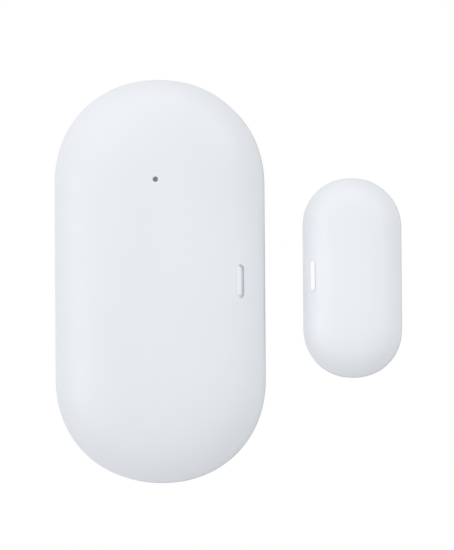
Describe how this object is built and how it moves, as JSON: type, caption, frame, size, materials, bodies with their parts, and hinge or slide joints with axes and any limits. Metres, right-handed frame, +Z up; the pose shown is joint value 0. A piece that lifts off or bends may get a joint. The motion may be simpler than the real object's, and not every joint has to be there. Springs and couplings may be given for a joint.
{
  "type": "door contact sensor",
  "caption": "Door or window contact sensor: a pill-shaped sensor unit with a pinhole light and, beside it, a smaller pill-shaped magnet unit, both with a raised alignment bar.",
  "frame": {"origin": "middle of the back of the sensor unit's adhesive pad, on the wall plane", "axes": "+Z up along the sensor unit's length, -Y out of the wall through the fronts, +X from the sensor unit towards the magnet unit"},
  "size_m": [0.06, 0.0155, 0.07],
  "materials": {
    "shell_white": "satin",
    "base_white": "satin",
    "foam_tape": "matte",
    "board_green": "solder mask",
    "black_plastic": "matte",
    "dark_resin": "fine moulded",
    "tinned_steel": "satin",
    "spring_nickel": "polished",
    "antenna_wire": "drawn wire",
    "magnet_plating": "nickel plated",
    "reed_tube_glass": "clear",
    "clear_acrylic": "clear",
    "led_lens": "milky",
    "button_white": "matte"
  },
  "bodies": {
    "base": {"rear_housing": "base_white", "body_adhesive_pad": "foam_tape", "circuit_board": "board_green", "radio_board": "board_green", "radio_shield": "tinned_steel", "coil_antenna": "antenna_wire", "status_led": "led_lens", "controller_chip": "dark_resin", "crystal_can": "tinned_steel", "storage_capacitor": "tinned_steel", "reed_glass": "reed_tube_glass", "reed_blade_fixed": "spring_nickel", "reed_lead_upper": "spring_nickel", "tamper_switch_body": "black_plastic", "pairing_switch_body": "tinned_steel", "battery_holder": "black_plastic", "coin_cell": "tinned_steel", "battery_contact_plus": "spring_nickel", "battery_contact_minus": "spring_nickel", "board_screw_upper": "tinned_steel", "board_screw_lower": "tinned_steel"},
    "cover": {"front_cover": "shell_white", "light_pipe": "clear_acrylic"},
    "tamper": {"tamper_plunger": "button_white"},
    "pairing": {"pairing_button": "black_plastic"},
    "reed": {"reed_blade_moving": "spring_nickel"},
    "magnet_unit": {"magnet_base": "base_white", "magnet_adhesive_pad": "foam_tape", "bar_magnet": "magnet_plating"},
    "magnet_lid": {"magnet_cover": "shell_white"}
  },
  "joints": [
    {"name": "cover_swing", "type": "hinge", "parent": "base", "child": "cover", "pos_m": [0, -0.0022, -0.0351], "axis": [1, 0, 0], "range_deg": [0, 90]},
    {"name": "tamper_travel", "type": "slide", "parent": "base", "child": "tamper", "axis": [0, -1, 0], "range_m": [0, 0.0008]},
    {"name": "pairing_press", "type": "slide", "parent": "base", "child": "pairing", "axis": [0, 1, 0], "range_m": [0, 0.00025], "stiffness_N_per_m": 1000},
    {"name": "door_travel", "type": "slide", "parent": "base", "child": "magnet_unit", "axis": [0, -1, 0], "range_m": [0, 0.03]},
    {"name": "magnet_cover_swing", "type": "hinge", "parent": "magnet_unit", "child": "magnet_lid", "pos_m": [0.0334, -0.0022, -0.017], "axis": [1, 0, 0], "range_deg": [0, 90]},
    {"name": "reed_flex", "type": "hinge", "parent": "base", "child": "reed", "pos_m": [0.01247, -0.007, 0.0047], "axis": [0, 1, 0], "range_deg": [0, 1.5]}
  ],
  "couplings": [
    {"joint": "tamper_travel", "follows": "cover_swing", "m_per_rad": 0.0005},
    {"joint": "reed_flex", "follows": "door_travel", "rad_per_m": 0.87}
  ]
}
